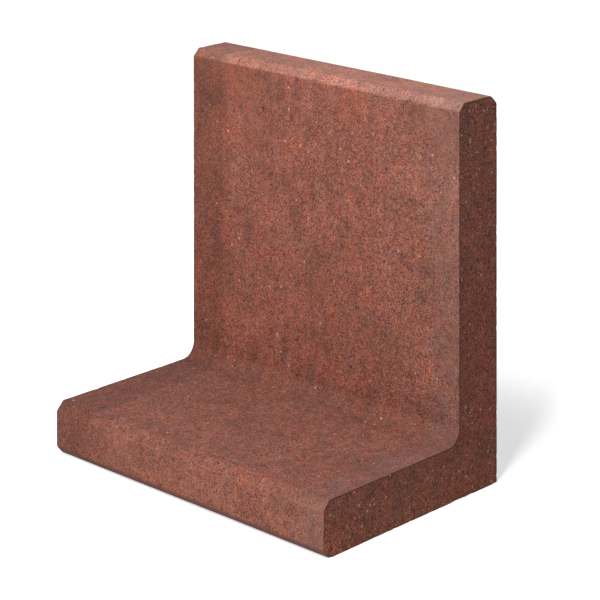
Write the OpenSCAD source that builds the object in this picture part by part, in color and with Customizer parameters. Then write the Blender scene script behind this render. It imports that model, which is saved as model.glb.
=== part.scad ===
// L-shaped retaining wall element: an upright leg and a foot, cast as one piece of concrete.
// X runs along the wall, the foot points to -Y and the element stands on Z = 0.
// The origin is below the middle of the element's box. All sizes are in millimetres.

/* [Overall] */
// Length of the element along the wall
element_length = 400; // [200:1:1000]
// Height of the upright leg above the bed
element_height = 414; // [250:1:800]
// Depth from the back face to the toe
element_depth = 272; // [180:1:600]

/* [Legs] */
// Thickness of the upright leg
leg_thickness = 63; // [40:1:100]
// Thickness of the foot
foot_thickness = 58; // [40:1:100]

/* [Edges] */
// Radius of the hollow fillet between the leg and the foot
fillet_radius = 17; // [4:1:40]
// Chamfer on the top edge over the foot
front_top_chamfer = 8.5; // [1:0.5:15]
// Chamfer on the top edge at the back face
back_top_chamfer = 9.5; // [1:0.5:15]
// Chamfer on the toe's upper edge
toe_top_chamfer = 9.5; // [1:0.5:15]
// Chamfer on the toe's lower edge
toe_bottom_chamfer = 9; // [1:0.5:15]

/* [Hidden] */

back_y = element_depth / 2;
toe_y = -element_depth / 2;
leg_front_y = back_y - leg_thickness;
fillet_centre_y = leg_front_y - fillet_radius;
fillet_centre_z = foot_thickness + fillet_radius;

// The outline seen from the +X end, from the heel round by the foot and up the leg.
// Its inner corner steps out by the fillet's radius, and the fillet's circle hollows that step.
outline = [
    [back_y, 0],
    [toe_y + toe_bottom_chamfer, 0],
    [toe_y, toe_bottom_chamfer],
    [toe_y, foot_thickness - toe_top_chamfer],
    [toe_y + toe_top_chamfer, foot_thickness],
    [fillet_centre_y, foot_thickness],
    [fillet_centre_y, fillet_centre_z],
    [leg_front_y, fillet_centre_z],
    [leg_front_y, element_height - front_top_chamfer],
    [leg_front_y + front_top_chamfer, element_height],
    [back_y - back_top_chamfer, element_height],
    [back_y, element_height - back_top_chamfer]
];

module section() {
    difference() {
        polygon(outline);
        translate([fillet_centre_y, fillet_centre_z])
            circle(r = fillet_radius, $fn = 96);
    }
}

// The section carried along the wall, from end face to end face
module l_element() {
    color([0.55, 0.35, 0.30])
        translate([-element_length / 2, 0, 0])
            rotate([90, 0, 90])
                linear_extrude(height = element_length)
                    section();
}

l_element();
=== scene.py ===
import math

import bpy
import numpy as np
from mathutils import Matrix, Vector


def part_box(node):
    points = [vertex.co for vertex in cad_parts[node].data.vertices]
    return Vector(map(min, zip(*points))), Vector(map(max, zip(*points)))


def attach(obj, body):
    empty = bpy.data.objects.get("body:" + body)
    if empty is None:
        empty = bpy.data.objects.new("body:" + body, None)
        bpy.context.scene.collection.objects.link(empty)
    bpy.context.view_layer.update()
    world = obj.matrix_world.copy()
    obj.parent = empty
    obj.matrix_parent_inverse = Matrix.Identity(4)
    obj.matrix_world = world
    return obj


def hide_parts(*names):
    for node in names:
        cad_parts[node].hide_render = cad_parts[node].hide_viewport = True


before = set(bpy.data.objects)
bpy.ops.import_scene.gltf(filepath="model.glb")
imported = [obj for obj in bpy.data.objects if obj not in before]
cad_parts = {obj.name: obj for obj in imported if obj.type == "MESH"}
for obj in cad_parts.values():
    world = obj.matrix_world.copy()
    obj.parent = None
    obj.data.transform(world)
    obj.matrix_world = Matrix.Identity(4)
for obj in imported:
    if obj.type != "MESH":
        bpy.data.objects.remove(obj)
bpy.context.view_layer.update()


# ------------------------------------------------------------------------------------------------
# The cast block. One piece of pressed concrete: an upright leg and a foot with the same section
# from end to end. The mould rounds its arrises slightly, and handling has nibbled them.
# ------------------------------------------------------------------------------------------------

MM = 0.001

block_low, block_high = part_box("l_element")
end_x = block_high.x
back_y, toe_y = block_high.y, block_low.y
bed_z, top_z = block_low.z, block_high.z

leg_front_y = back_y - 63 * MM
foot_top_z = bed_z + 58 * MM
fillet_radius = 17 * MM
front_top_chamfer = 8.5 * MM
back_top_chamfer = 9.5 * MM
toe_top_chamfer = 9.5 * MM
toe_bottom_chamfer = 9 * MM

front_top_middle = (leg_front_y + front_top_chamfer / 2, top_z - front_top_chamfer / 2)
back_top_middle = (back_y - back_top_chamfer / 2, top_z - back_top_chamfer / 2)
toe_top_middle = (toe_y + toe_top_chamfer / 2, foot_top_z - toe_top_chamfer / 2)
toe_bottom_middle = (toe_y + toe_bottom_chamfer / 2, bed_z + toe_bottom_chamfer / 2)


def rounded_line(corners, radii):
    """Points in (y, z) along the line through the corners, its inner corners turned into arcs.
    In a corner whose sides meet at the angle a, an arc of radius r has its centre r / sin(a / 2)
    from the corner, and sweeps the angle 180 degrees - a."""
    corners = np.array(corners)
    points = [corners[:1]]
    for before, corner, after, radius in zip(corners, corners[1:], corners[2:], radii):
        towards_start = (before - corner) / np.linalg.norm(before - corner)
        towards_end = (after - corner) / np.linalg.norm(after - corner)
        half_angle = math.acos(towards_start @ towards_end) / 2
        inward = (towards_start + towards_end) / (2 * math.cos(half_angle))
        across = (towards_end - towards_start) / (2 * math.sin(half_angle))
        sweep = np.linspace(-1, 1, 33)[:, None] * (math.pi / 2 - half_angle)
        centre = corner + inward * radius / math.sin(half_angle)
        points.append(centre + radius * (across * np.sin(sweep) - inward * np.cos(sweep)))
    return np.concatenate(points + [corners[-1:]])


def distances(line):
    """How far along the line each of its points lies: the running total of the steps."""
    return np.concatenate([[0.0], np.cumsum(np.linalg.norm(np.diff(line, axis=0), axis=1))])


def graded(length, fine_at, coarse, count=None, fine=1.1 * MM, reach=8 * MM):
    """Places from 0 to length, close together near the places in fine_at.
    The gap is coarse - (coarse - fine) exp(-(distance to the nearest such place / reach)^2), and
    the places are where the running total of 1 / gap passes equal steps."""
    x = np.linspace(0, length, 4001)
    near = np.min(np.abs(x[:, None] - np.array(fine_at)), axis=1)
    gap = coarse - (coarse - fine) * np.exp(-((near / reach) ** 2))
    total = np.concatenate([[0], np.cumsum((1 / gap[1:] + 1 / gap[:-1]) / 2 * np.diff(x))])
    steps = count or round(total[-1])
    return np.interp(np.linspace(0, total[-1], steps + 1), total, x)


def points_at(line, places):
    """The points that lie those distances along the line."""
    along = distances(line)
    return np.stack([np.interp(places, along, line[:, k]) for k in (0, 1)], axis=1)


def folded_places(line, fold_corner, coarse, counts=(None, None)):
    """Places along a line that folds at one corner, fine at its ends, and the steps to the fold."""
    along = distances(line)
    fold = along[np.argmin(np.linalg.norm(line - np.array(fold_corner), axis=1))]
    rest = along[-1] - fold
    first = graded(fold, [0, 7 * MM, fold], coarse, counts[0])
    last = graded(rest, [0, rest - 7 * MM, rest], coarse, counts[1])
    return np.concatenate([first, fold + last[1:]]), (len(first) - 1, len(last) - 1)


# The section is a strip between its inner side, from the toe over the foot and up the leg, and
# its outer side, along the bed and up the back. The toe face and the top face close its ends.
inner_side = rounded_line(
    [toe_top_middle, (toe_y + toe_top_chamfer, foot_top_z), (leg_front_y, foot_top_z),
     (leg_front_y, top_z - front_top_chamfer), front_top_middle],
    [4 * MM, fillet_radius, 4 * MM],
)
outer_side = rounded_line(
    [toe_bottom_middle, (toe_y + toe_bottom_chamfer, bed_z), (back_y, bed_z),
     (back_y, top_z - back_top_chamfer), back_top_middle],
    [3 * MM, 2 * MM, 6 * MM],
)
toe_side = rounded_line(
    [toe_bottom_middle, (toe_y, bed_z + toe_bottom_chamfer), (toe_y, foot_top_z - toe_top_chamfer),
     toe_top_middle],
    [3 * MM, 4 * MM],
)
top_side = rounded_line(
    [back_top_middle, (back_y - back_top_chamfer, top_z), (leg_front_y + front_top_chamfer, top_z),
     front_top_middle],
    [6 * MM, 3 * MM],
)

inner_places, fold_steps = folded_places(inner_side, (leg_front_y, foot_top_z), 2.5 * MM)
outer_places, fold_steps = folded_places(outer_side, (back_y, bed_z), 5 * MM, fold_steps)
toe_length, top_length = distances(toe_side)[-1], distances(top_side)[-1]
toe_places = graded(toe_length, [0, 6 * MM, toe_length - 6 * MM, toe_length], 3.4 * MM)
top_places = graded(top_length, [0, 6 * MM, top_length - 6 * MM, top_length], 3.4 * MM,
                    len(toe_places) - 1)
along_steps, through_steps = len(inner_places) - 1, len(toe_places) - 1

# The ring runs round the section from the toe's lower chamfer: bed, back, top, leg front, foot,
# toe. It turns anticlockwise seen from +X, so its outward normal is its tangent turned -90 degrees.
ring = np.concatenate([
    points_at(outer_side, outer_places)[:-1],
    points_at(top_side, top_places)[:-1],
    points_at(inner_side, inner_places)[::-1][:-1],
    points_at(toe_side, toe_places)[::-1][:-1],
])
ring_count = len(ring)
tangent = np.roll(ring, -1, axis=0) - np.roll(ring, 1, axis=0)
tangent /= np.linalg.norm(tangent, axis=1)[:, None]
ring_normal = np.stack([tangent[:, 1], -tangent[:, 0]], axis=1)

# The end arris is a quarter circle: at the angle a of its turn the ring stands r (1 - cos a) in
# from the end and is drawn in by r (1 - sin a).
arris_radius = 0.4 * MM
arris_turn = np.radians([0, 24, 48, 70, 90])
half_columns = graded(end_x - arris_radius, [0], 2.85 * MM, fine=0.75 * MM, reach=9 * MM)
from_end = np.concatenate([arris_radius * (1 - np.cos(arris_turn)), arris_radius + half_columns[1:]])
drawn_in = np.concatenate([arris_radius * (1 - np.sin(arris_turn)), 0 * half_columns[1:]])
facing_end = np.concatenate([np.cos(arris_turn), 0 * half_columns[1:]])

column_x = np.concatenate([from_end - end_x, (end_x - from_end)[::-1][1:]])
column_in = np.concatenate([drawn_in, drawn_in[::-1][1:]])
column_turn = np.concatenate([-facing_end, facing_end[::-1][1:]])
column_count = len(column_x)

skin = np.empty((column_count, ring_count, 3))
skin[..., 0] = column_x[:, None]
skin[..., 1:] = ring - column_in[:, None, None] * ring_normal
skin_normal = np.empty_like(skin)
skin_normal[..., 0] = column_turn[:, None]
skin_normal[..., 1:] = np.sqrt(1 - column_turn**2)[:, None, None] * ring_normal


def end_grid(outline):
    """The Coons patch that fills the section, from the (y, z) points of the ring.
    P(s, t) = the blend of the outer and inner side by t, plus the blend of the toe and top side
    by s, less the blend of the four corners by both."""
    corner_steps = np.cumsum([0, along_steps, through_steps, along_steps])
    outer = outline[: along_steps + 1, None]
    top = outline[None, corner_steps[1] : corner_steps[2] + 1]
    inner = outline[corner_steps[2] : corner_steps[3] + 1][::-1, None]
    toe = np.concatenate([outline[corner_steps[3] :], outline[:1]])[::-1][None]
    s = np.linspace(0, 1, along_steps + 1)[:, None, None]
    t = np.linspace(0, 1, through_steps + 1)[None, :, None]
    corners = (
        (1 - s) * (1 - t) * outer[:1] + s * (1 - t) * outer[-1:]
        + (1 - s) * t * inner[:1] + s * t * inner[-1:]
    )
    return (1 - t) * outer + t * inner + (1 - s) * toe + s * top - corners


def ring_numbers():
    """The end grid's vertex numbers along its rim, counted round the ring, and -1 inside."""
    numbers = np.full((along_steps + 1, through_steps + 1), -1)
    round_ring = np.arange(ring_count + 1) % ring_count
    turns = np.cumsum([0, along_steps, through_steps, along_steps, through_steps])
    numbers[:, 0] = round_ring[turns[0] : turns[1] + 1]
    numbers[-1, :] = round_ring[turns[1] : turns[2] + 1]
    numbers[::-1, -1] = round_ring[turns[2] : turns[3] + 1]
    numbers[0, ::-1] = round_ring[turns[3] : turns[4] + 1]
    return numbers


rim_numbers = ring_numbers()
inside = rim_numbers < 0
inside_count = int(inside.sum())
end_points = end_grid(skin[0, :, 1:])[inside]
left_end = np.column_stack([np.full(inside_count, -end_x), end_points])
right_end = np.column_stack([np.full(inside_count, end_x), end_points])

place = np.concatenate([skin.reshape(-1, 3), left_end, right_end])
outward = np.concatenate([
    skin_normal.reshape(-1, 3),
    np.tile([-1.0, 0.0, 0.0], (inside_count, 1)),
    np.tile([1.0, 0.0, 0.0], (inside_count, 1)),
])


def quads(grid):
    """The four vertex numbers of each cell of a grid of vertex numbers."""
    corners = [grid[:-1, :-1], grid[1:, :-1], grid[1:, 1:], grid[:-1, 1:]]
    return np.stack(corners, axis=-1).reshape(-1, 4)


skin_grid = np.arange(column_count * ring_count).reshape(column_count, ring_count)
skin_grid = np.concatenate([skin_grid, skin_grid[:, :1]], axis=1)
left_grid = rim_numbers.copy()
left_grid[inside] = skin_grid.max() + 1 + np.arange(inside_count)
right_grid = rim_numbers + (column_count - 1) * ring_count
right_grid[inside] = left_grid.max() + 1 + np.arange(inside_count)
# The skin and the left end are turned over, so that every face looks out of the block.
faces = np.concatenate([quads(skin_grid)[:, ::-1], quads(left_grid)[:, ::-1], quads(right_grid)])


def lumps(size, seed):
    """Smooth random values from -1 to 1 at every vertex, which change over the given sizes.
    Each corner of a lattice of that spacing has a random value, and a point blends the eight
    corners round it by the weights 3 f^2 - 2 f^3 of its place f in the cell."""
    table = np.random.default_rng(seed).uniform(-1, 1, (64, 64, 64))
    scaled = place / (np.array(size) * MM) + 100
    cell = np.floor(scaled).astype(int)
    part = scaled - cell
    weight = part * part * (3 - 2 * part)
    value = np.zeros(len(place))
    for corner in np.ndindex(2, 2, 2):
        share = np.prod(np.where(corner, weight, 1 - weight), axis=1)
        x, y, z = ((cell + corner) % 64).T
        value += share * table[x, y, z]
    return value


# How far each vertex is from an end arris, along the skin or across the end face.
rim = skin[0, :, 1:]
from_rim = np.concatenate([
    np.min(np.linalg.norm(part[:, None] - rim[None, ::2], axis=2), axis=1)
    for part in np.array_split(end_points, 16)
])
from_arris = np.concatenate([np.repeat(end_x - np.abs(column_x), ring_count), from_rim, from_rim])

# Relief, always into the block: long hollows of the mould, fine unevenness, arris nibbles that
# die out 2 mm from the arris, and one larger chip on the front arris of the leg.
chip_middle = np.array([end_x, leg_front_y, bed_z + 124 * MM])
chip_reach = np.array([5 * MM, 5 * MM, 4 * MM])
chip = 1.9 * MM * np.exp(-np.sum(((place - chip_middle) / chip_reach) ** 2, axis=1))
nibbles = np.clip(lumps((7, 7, 7), 3) - 0.25, 0, None) + np.clip(lumps((3, 3, 3), 4) - 0.2, 0, None)
nibbles = np.clip(1.5 * MM * nibbles - 0.5 * from_arris, 0, None)
hollows = 0.12 * MM * (1 + lumps((70, 70, 70), 1)) + 0.05 * MM * (1 + lumps((9, 9, 9), 2))
relief = hollows + nibbles + np.clip(chip - 0.3 * from_arris, 0, None)
place = place - outward * relief[:, None]

mesh = bpy.data.meshes.new("cast_l_element")
mesh.from_pydata(place, [], faces)
mesh.shade_smooth()
cast_l_element = bpy.data.objects.new("cast_l_element", mesh)
bpy.context.collection.objects.link(cast_l_element)


# ------------------------------------------------------------------------------------------------
# The colour of the concrete. Red and anthracite mix are pressed together, so the block is uneven:
# warm, mauve and dark patches lie at random, and each face and the bands beside the ends differ.
# Painted light and shade take part: the top is lighter and paler partly by painted light and sheen,
# the end faces are darker partly by painted shade, and painted shade darkens the fillet's corner and
# slopes, the lower chamfer under the toe and a line along the end arrises.
# ------------------------------------------------------------------------------------------------

def smooth_step(low, high, value):
    """0 below low, 1 above high and 3 f^2 - 2 f^3 between them."""
    part = np.clip((value - low) / (high - low), 0, 1)
    return part * part * (3 - 2 * part)


x_mm, y_mm, z_mm = place.T / MM
upward = smooth_step(0.3, 0.7, outward[:, 2])
on_top = upward * smooth_step(200, 300, z_mm)
on_foot = smooth_step(0.72, 0.95, outward[:, 2]) * smooth_step(200, 100, z_mm)
on_slope = upward * smooth_step(200, 100, z_mm) - on_foot
in_corner = np.exp(-(((y_mm - 66) / 20) ** 2) - ((z_mm - 63) / 20) ** 2)
end_face = smooth_step(0.55, 0.95, np.abs(outward[:, 0]))
on_leg_front = smooth_step(-0.5, -0.9, outward[:, 1]) * smooth_step(60, 80, z_mm)
on_toe = smooth_step(-0.5, -0.9, outward[:, 1]) * smooth_step(-120, -130, y_mm)

wavy_x = x_mm + 7 * lumps((300, 45, 45), 21) + 3 * lumps((300, 14, 14), 22)
left_band = 1 - smooth_step(-157, -141, wavy_x)
right_band = smooth_step(146, 176, wavy_x)

anthracite = 0.14 + 0.12 * lumps((26, 30, 38), 31) + 0.10 * lumps((11, 14, 22), 32)
anthracite += 0.04 * on_leg_front + 0.03 * on_foot + 0.08 * left_band - 0.14 * right_band
# On the front of the leg the anthracite also gathers in clots about 1 cm wide.
anthracite += 0.6 * smooth_step(0.40, 0.85, lumps((11, 12, 12), 41)) * on_leg_front
warmth = 0.10 + 0.10 * lumps((40, 50, 50), 33) + 0.14 * lumps((16, 22, 22), 34)
warmth += 0.06 * on_leg_front + 0.15 * left_band - 0.48 * right_band * (1 - end_face) + 0.2 * end_face
warmth -= 0.18 * on_leg_front * smooth_step(60, 130, wavy_x)
warmth += 0.25 * on_leg_front * smooth_step(-110, -150, wavy_x) * smooth_step(240, 180, z_mm)
# The top turns mauve and less red, partly as a paler top and partly as a painted sheen.
warmth -= 0.28 * on_foot + 0.70 * on_top + 0.14 * on_toe
tone_and_painted_light = 0.08 * lumps((80, 100, 100), 35) + 0.11 * lumps((34, 40, 40), 36)
tone_and_painted_light += 0.10 * lumps((15, 18, 18), 38)
# The end faces are darker, partly as a darker cut face and partly as painted shade.
tone_and_painted_light -= 0.30 * left_band + 0.25 * end_face + 0.025 * on_leg_front
tone_and_painted_light -= 0.12 * end_face * smooth_step(100, 80, y_mm) * smooth_step(58, 64, z_mm)
# Painted shade darkens the toe's lower chamfer, under the toe.
tone_and_painted_light -= 0.55 * smooth_step(-125, -129, y_mm) * smooth_step(11, 7, z_mm) * (1 - end_face)
# Painted light and sheen lighten the top, along with a paler top; painted shade darkens the fillet's
# corner and slopes and the toe's upper chamfer. The foot is darker and the toe lighter.
tone_and_painted_light += 0.47 * on_top - 0.19 * on_foot - 0.18 * on_slope - 0.22 * in_corner + 0.15 * on_toe
# The end faces grow darker down the leg, and lighter again low on the foot.
tone_and_painted_light -= end_face * (0.05 + 0.115 * smooth_step(250, 60, z_mm) + 0.05 * smooth_step(270, 210, z_mm))
tone_and_painted_light += end_face * 0.20 * smooth_step(50, 10, z_mm)
redness = 0.065 * on_foot - 0.01 * on_toe
redness += end_face * (0.16 * smooth_step(380, 160, z_mm) + 0.045 - 0.08 * smooth_step(70, 50, z_mm))
blueness = -0.005 * on_foot - 0.01 * on_top - end_face * (0.10 + 0.17 * smooth_step(280, 130, z_mm))
blueness -= 0.04 * on_leg_front * smooth_step(-110, -150, wavy_x)
# Painted shade: a dark line on the end faces along their arrises.
painted_arris_shade = end_face * smooth_step(2.8, 0.5, from_arris / MM)
painted_arris_shade *= smooth_step(6, 20, z_mm) * smooth_step(-134, -124, y_mm)

smooth_corner = on_leg_front * smooth_step(0, -140, wavy_x) * smooth_step(220, 360, z_mm)
smooth_top = on_leg_front * smooth_step(340, 400, z_mm)
smooth_right = right_band * (1 - end_face)
fine_grain = 1.0 + 0.12 * lumps((50, 50, 50), 37) + 0.85 * end_face + 0.06 * on_foot - 0.22 * on_toe
fine_grain -= 0.25 * (smooth_right + smooth_top + smooth_corner)
coarse_grain = 1.0 + 0.12 * lumps((50, 50, 50), 39) - 0.1 * end_face - 0.1 * on_foot - 0.4 * on_toe
coarse_grain -= 0.45 * smooth_right + 0.2 * (smooth_top + smooth_corner)
sandy = 0.25 + 0.2 * end_face + 0.2 * on_foot

for name, values in (
    ("anthracite", anthracite), ("warmth", warmth), ("tone_and_painted_light", tone_and_painted_light),
    ("redness", redness), ("blueness", blueness),
    ("fine_grain", fine_grain), ("coarse_grain", coarse_grain), ("sandy", sandy),
    ("end_face", end_face), ("painted_arris_shade", painted_arris_shade),
):
    mesh.attributes.new(name, "FLOAT", "POINT").data.foreach_set("value", values.astype(np.float32))


def node(tree, kind, inputs=None, **settings):
    """A shader node with its settings made and its inputs set to values or linked to sockets."""
    made = tree.nodes.new("ShaderNode" + kind)
    for name, value in settings.items():
        setattr(made, name, value)
    for name, value in (inputs or {}).items():
        if isinstance(value, bpy.types.NodeSocket):
            tree.links.new(value, made.inputs[name])
        else:
            made.inputs[name].default_value = value
    return made


concrete = bpy.data.materials.new("red_concrete")
concrete.use_nodes = True
mix = concrete.node_tree
mix.nodes.clear()
in_millimetres = node(
    mix, "VectorMath", {0: node(mix, "TexCoord").outputs["Object"], "Scale": 1 / MM}, operation="SCALE"
).outputs[0]


def maths(operation, first, second=0.0, third=0.0):
    """The result of a Math node."""
    return node(mix, "Math", {0: first, 1: second, 2: third}, operation=operation).outputs[0]


def weighted(*terms):
    """The sum of the values, each times its weight."""
    result = 0.0
    for weight, value in terms:
        result = maths("MULTIPLY_ADD", value, weight, result)
    return result


def blend(share, first, second):
    """The colour that lies the given share of the way from the first colour to the second."""
    return node(
        mix, "Mix", {"Factor": share, 6: first, 7: second}, data_type="RGBA", clamp_factor=True
    ).outputs[2]


def attribute(name):
    """A value that was worked out at the vertices."""
    return node(mix, "Attribute", attribute_name=name).outputs["Fac"]


def placed(sizes, shift, start=in_millimetres):
    """The place on the block counted in the given sizes along x, y and z, from a shifted start."""
    return node(
        mix, "Mapping",
        {"Vector": start, "Location": (shift, shift, shift), "Scale": tuple(1 / s for s in sizes)},
    ).outputs[0]


# How far Blender's noise strays from 0.5 on average, at 0, 1, 2 and 3 levels of detail.
noise_spread = (0.139, 0.099, 0.084, 0.077)


def cloud(sizes, shift, detail=0):
    """Noise around 0 with a spread of 1, whose lumps have the given sizes along x, y and z."""
    noise = node(
        mix, "TexNoise",
        {"Vector": placed(sizes, shift), "Scale": 1.0, "Detail": detail, "Roughness": 0.6},
    ).outputs["Fac"]
    return maths("MULTIPLY_ADD", noise, 1 / noise_spread[detail], -0.5 / noise_spread[detail])


def share_of(value, low, high):
    """0 where the value is at low or beyond it, 1 at high, straight between them."""
    return node(
        mix, "MapRange", {"Value": value, "From Min": low, "From Max": high}, clamp=True
    ).outputs[0]


ruffle = node(mix, "TexNoise", {"Vector": placed((1.7, 1.7, 1.7), 5.5), "Scale": 1.0, "Detail": 1.0})
ruffled = node(
    mix, "VectorMath", {0: ruffle.outputs["Color"], 1: (1.6, 1.6, 1.6), 2: in_millimetres},
    operation="MULTIPLY_ADD",
).outputs[0]


def specks(sizes, shift, density, smallest, largest):
    """Ragged specks, one at most in each cell of the given sizes: in the cells picked by density
    they are lumps whose radius, as a share of the cell, is between the smallest and the largest."""
    cells = node(mix, "TexVoronoi", {"Vector": placed(sizes, shift, ruffled), "Scale": 1.0})
    random = node(mix, "SeparateColor", {0: cells.outputs["Color"]}).outputs
    radius = maths("MULTIPLY_ADD", random[1], largest - smallest, smallest)
    inside = share_of(maths("SUBTRACT", radius, cells.outputs["Distance"]), -0.03, 0.03)
    return maths("MULTIPLY", share_of(maths("SUBTRACT", density, random[0]), 0.0, 0.01), inside)


end_share = attribute("end_face")
anthracite_share = attribute("anthracite")

dust = cloud((1.1, 1.1, 1.1), 2.9)
grit = cloud((2.2, 2.2, 2.2), 1.3)
pebble = cloud((4.4, 4.4, 4.4), 4.1)
mottle = cloud((9, 10, 10), 7.7, 1)
streaks = cloud((12, 15, 34), 3.1, 2)
blush = weighted((1.0, attribute("redness")), (0.04, cloud((8, 8, 9), 21.3, 2)))
cast = weighted((1.0, attribute("blueness")), (0.06, cloud((8, 8, 9), 27.7, 1)))
broad_hue = cloud((12, 16, 16), 25.1, 2)
crumb_shape = cloud((2.2, 2.6, 2.6), 33.1, 1)
mark_shape = cloud((2.8, 4.0, 5.0), 31.7, 3)
patchy = cloud((12, 14, 14), 37.9, 1)

brick = (0.303, 0.104, 0.067, 1)
ember_red = (0.371, 0.089, 0.048, 1)
mauve = (0.247, 0.121, 0.094, 1)
anthracite_grey = (0.066, 0.038, 0.036, 1)
mark_grey = (0.045, 0.026, 0.025, 1)
pale_stone = (0.70, 0.36, 0.27, 1)
pit_shadow = (0.055, 0.009, 0.005, 1)

# Warm and cool patches, the pale mauve of the top partly a painted sheen, then soft anthracite marks.
heat = weighted((1.0, attribute("warmth")), (0.10, broad_hue), (0.05, streaks), (0.04, mottle))
colour = blend(share_of(heat, 0.0, 1.0), brick, ember_red)
colour = blend(share_of(heat, 0.0, -1.0), colour, mauve)
marks = share_of(weighted((1.0, anthracite_share), (0.6, mark_shape)), 1.2, 1.5)
smudge = share_of(anthracite_share, 0.15, 1.15)
colour = blend(maths("MULTIPLY", smudge, 0.3), colour, anthracite_grey)
colour = blend(maths("MULTIPLY", marks, 0.7), colour, mark_grey)

# Sand grains: light ones are paler and less red, dark ones deeper red. Crumbled spots are dark.
crumbs = share_of(weighted((0.7, crumb_shape), (0.35, patchy), (0.8, anthracite_share)), 1.25, 1.95)
dust_part = weighted((0.38, maths("ABSOLUTE", dust)), (-0.33, dust), (1.0, 0.36))
sand = maths("MULTIPLY", weighted((0.10, grit), (0.05, pebble)), attribute("sandy"))
fine = weighted((0.54, maths("MULTIPLY", dust, dust_part)), (1.0, sand))
fine = maths("MINIMUM", maths("MULTIPLY", fine, attribute("fine_grain")), 0.8)
shed = maths("MULTIPLY", crumbs, attribute("coarse_grain"))
fine = weighted((1.0, fine), (-0.08, shed))
pebble_contrast = maths("MULTIPLY", pebble, maths("ABSOLUTE", pebble))
coarse = weighted((0.02, pebble), (0.02, pebble_contrast), (-0.13, crumbs))
coarse = maths("MULTIPLY", coarse, attribute("coarse_grain"))
# The tone adds the painted light and shade worked out at the vertices, and the painted shade along the
# end arrises.
tone = weighted(
    (1.0, attribute("tone_and_painted_light")), (1.0, coarse), (0.06, mottle), (0.06, streaks),
    (-1.1, attribute("painted_arris_shade")),
)
fine_tint = (0.64, 1.28, 1.68)
blush_tint = (0.45, -0.55, -0.55)
cast_tint = (0.0, 0.0, 1.0)
channels = [
    maths("EXPONENT", weighted((1.0, tone), (of_fine, fine), (of_blush, blush), (of_cast, cast)))
    for of_fine, of_blush, of_cast in zip(fine_tint, blush_tint, cast_tint)
]
lightening = node(mix, "CombineXYZ", dict(enumerate(channels))).outputs[0]
colour = node(mix, "VectorMath", {0: colour, 1: lightening}, operation="MULTIPLY").outputs[0]

# Pale stones, small glints and open pits. The stones and the large pits favour the end faces.
pale = specks((6, 6, 7), 12.7, weighted((0.05, end_share), (1.0, 0.08)), 0.10, 0.23)
colour = blend(maths("MULTIPLY", pale, 0.85), colour, pale_stone)
sparks = specks((3.0, 3.0, 3.0), 18.1, weighted((-0.05, end_share), (1.0, 0.14)), 0.10, 0.25)
colour = blend(maths("MULTIPLY", sparks, 0.35), colour, pale_stone)
small_pits = specks(
    (3.0, 2.8, 3.4), 15.9,
    weighted((0.22, end_share), (0.10, patchy), (0.25, smudge), (1.0, 0.11)), 0.14, 0.37,
)
large_pits = specks(
    (7, 6, 7), 22.3,
    weighted((0.57, end_share), (0.10, smudge), (1.0, 0.01)), 0.17, 0.36,
)
pits = maths("MAXIMUM", small_pits, large_pits)
colour = blend(maths("MULTIPLY", pits, weighted((0.12, end_share), (1.0, 0.80))), colour, pit_shadow)

relief_height = weighted(
    (0.008, dust), (0.01, grit), (0.015, pebble), (0.02, mottle), (-0.06, crumbs), (-0.3, pits),
)
bump = node(mix, "Bump", {
    "Strength": 1.0,
    "Distance": MM,
    "Height": maths("MULTIPLY", relief_height, maths("MULTIPLY_ADD", end_share, 0.2, 1.0)),
})
surface = node(
    mix, "BsdfPrincipled",
    {
        "Base Color": colour,
        "Roughness": maths("MULTIPLY_ADD", grit, 0.02, 0.85),
        "Normal": bump.outputs[0],
    },
)
node(mix, "OutputMaterial", {"Surface": surface.outputs[0]})
mesh.materials.append(concrete)

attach(cast_l_element, "root")
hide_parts("l_element")


# ------------------------------------------------------------------------------------------------
# The studio. A pale floor that runs to the horizon, a soft lamp to the front right, a wide one
# above the front, and an even white surround.
# ------------------------------------------------------------------------------------------------

half_floor = 20.0
floor_mesh = bpy.data.meshes.new("studio_floor")
floor_mesh.from_pydata(
    [(-half_floor, -half_floor, bed_z), (half_floor, -half_floor, bed_z),
     (half_floor, half_floor, bed_z), (-half_floor, half_floor, bed_z)],
    [], [(0, 1, 2, 3)],
)
studio_floor = bpy.data.objects.new("studio_floor", floor_mesh)
bpy.context.collection.objects.link(studio_floor)


def seen_directly(tree):
    """1 for the rays that show a surface itself or its mirror image, and 0 for those that light."""
    rays = node(tree, "LightPath").outputs
    seen = rays["Is Camera Ray"]
    for kind in ("Is Glossy Ray", "Is Transmission Ray"):
        seen = node(tree, "Math", {0: seen, 1: rays[kind]}, operation="MAXIMUM").outputs[0]
    return seen


floor_look = bpy.data.materials.new("studio_floor")
floor_look.use_nodes = True
paper = floor_look.node_tree
paper.nodes.clear()
lighting_side = node(paper, "BsdfDiffuse", {"Color": (0.5, 0.5, 0.5, 1)})
shadow_side = node(paper, "BsdfDiffuse", {"Color": (0.9, 0.9, 0.9, 1)})
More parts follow.
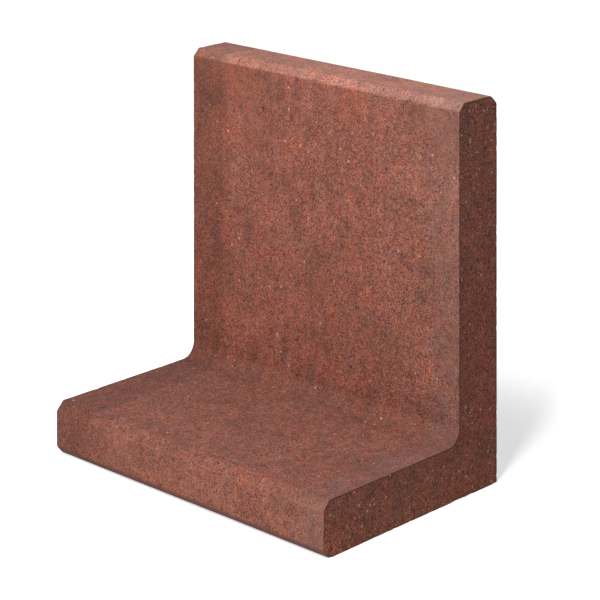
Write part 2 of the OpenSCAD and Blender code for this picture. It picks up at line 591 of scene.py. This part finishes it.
# The paper glows less around the element, so that its shadow shows, and more further out.
shadow_middle = (0.1, 0.02, 0)
dim_radius, bright_radius = 0.22, 0.52
dim_glow, bright_glow = 0.66, 0.98
on_floor = node(paper, "TexCoord").outputs["Object"]
from_middle = node(paper, "VectorMath", {0: on_floor, 1: shadow_middle}, operation="DISTANCE")
glow_strength = node(paper, "MapRange", {
    "Value": from_middle.outputs["Value"], "From Min": dim_radius, "From Max": bright_radius,
    "To Min": dim_glow, "To Max": bright_glow,
}, interpolation_type="SMOOTHSTEP")
glow = node(paper, "Emission", {"Strength": glow_strength.outputs[0]})
seen_side = node(paper, "AddShader", {0: shadow_side.outputs[0], 1: glow.outputs[0]})
paper_shader = node(
    paper, "MixShader", {0: seen_directly(paper), 1: lighting_side.outputs[0], 2: seen_side.outputs[0]}
)
node(paper, "OutputMaterial", {"Surface": paper_shader.outputs[0]})
floor_mesh.materials.append(floor_look)


def soft_lamp(name, stand, target, width, power):
    """A round soft box of the given width that stands at a point and faces the target."""
    data = bpy.data.lights.new(name, "AREA")
    data.shape = "DISK"
    data.size = width
    data.energy = power
    lamp = bpy.data.objects.new(name, data)
    lamp.location = stand
    lamp.rotation_euler = (Vector(target) - Vector(stand)).to_track_quat("-Z", "Y").to_euler()
    bpy.context.collection.objects.link(lamp)


half_way_up = (0, 0, (bed_z + top_z) / 2)
soft_lamp("front_lamp", (0.68, -1.06, 1.36), half_way_up, width=0.27, power=17)
soft_lamp("overhead_lamp", (0, -0.9, 1.6), half_way_up, width=1.0, power=14)

surround = bpy.data.worlds.new("studio")
surround.use_nodes = True
bpy.context.scene.world = surround
air = surround.node_tree
lighting_strength, seen_strength = 0.06, 1.0
strength = node(
    air, "MapRange",
    {"Value": seen_directly(air), "To Min": lighting_strength, "To Max": seen_strength},
).outputs[0]
air.links.new(strength, air.nodes["Background"].inputs["Strength"])
air.nodes["Background"].inputs["Color"].default_value = (1, 1, 1, 1)


# ------------------------------------------------------------------------------------------------
# The camera looks down at the element from its front right corner. Its picture stands upright,
# as in a view camera with a raised back, so that the uprights of the element stay parallel.
# ------------------------------------------------------------------------------------------------

turn = math.radians(43.41)
drop = math.radians(17.57)
eye = Vector((1.800, -1.861, 1.002))
across = Vector((math.cos(turn), math.sin(turn), 0))
upright = Vector((0, 0, 1))
backward = Vector((math.sin(turn), -math.cos(turn), 0)) * math.cos(drop) + upright * math.sin(drop)

camera_data = bpy.data.cameras.new("camera")
camera_data.sensor_width = 36
camera_data.lens = 150.6
camera = bpy.data.objects.new("camera", camera_data)
bpy.context.collection.objects.link(camera)
camera.parent = studio_floor
axes = Matrix((across, upright, backward)).transposed().to_4x4()
camera.matrix_parent_inverse = Matrix.Translation(eye) @ axes
bpy.context.scene.camera = camera
bpy.context.scene.view_settings.view_transform = "Standard"
